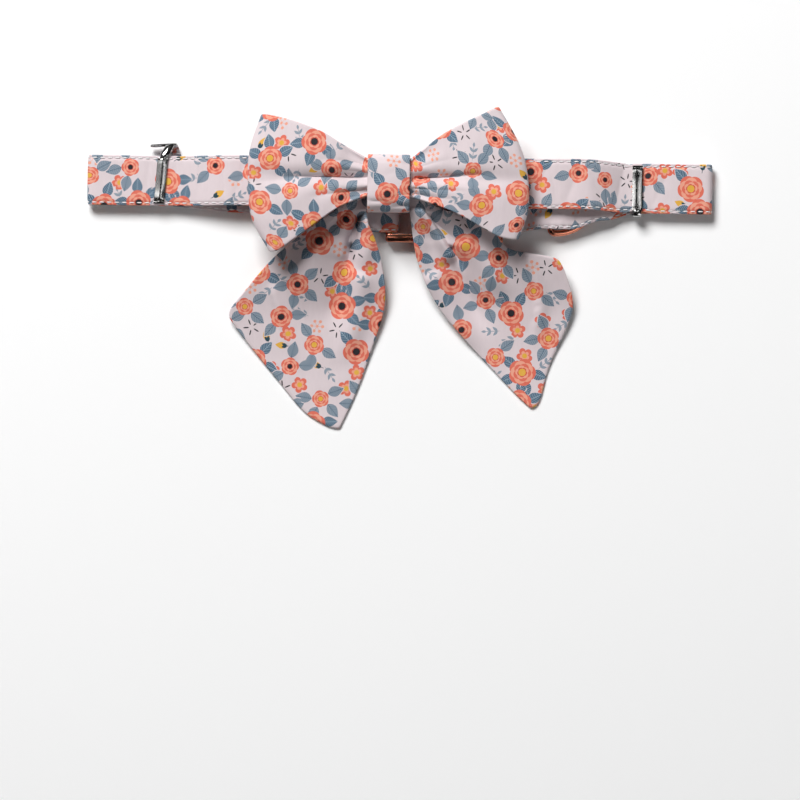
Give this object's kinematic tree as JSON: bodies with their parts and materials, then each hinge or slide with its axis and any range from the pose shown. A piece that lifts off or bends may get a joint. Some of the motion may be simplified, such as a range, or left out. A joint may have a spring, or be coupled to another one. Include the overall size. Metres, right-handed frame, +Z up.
{
  "type": "pet bow tie collar",
  "caption": "Fabric pet collar lying flat in a folded loop, with a sailor bow tie, a side-release buckle, a D-ring and two steel clips that hold its strands together.",
  "frame": {"origin": "centre of the bounding box at the surface that the collar lies on", "axes": "+X along the folded strap towards the D-ring, +Y away from the bow's tails, +Z up"},
  "size_m": [0.25, 0.1294, 0.0253],
  "materials": {
    "strap_cloth": "matt woven cotton with a printed floral pattern and white edge stitching",
    "bow_cloth": "matt woven cotton with a printed floral pattern",
    "tail_cloth": "matt woven cotton with a printed floral pattern",
    "knot_cloth": "matt woven cotton with a printed floral pattern",
    "buckle_metal": "polished rose gold plate",
    "ring_metal": "polished rose gold plate",
    "clip_steel": "bright nickel-plated steel"
  },
  "bodies": {
    "collar": {"strap": "strap_cloth", "bow": "bow_cloth", "tail_left": "tail_cloth", "tail_right": "tail_cloth", "knot_band": "knot_cloth", "buckle_tongue": "buckle_metal", "buckle_socket": "buckle_metal", "strap_clip_left": "clip_steel", "strap_clip_right": "clip_steel"},
    "ring": {"d_ring": "ring_metal"}
  },
  "joints": [
    {"name": "d_ring_swing", "type": "hinge", "parent": "collar", "child": "ring", "pos_m": [0.0604, 0.02616, 0.0043], "axis": [0, 1, 0], "range_deg": [0, 105]}
  ]
}
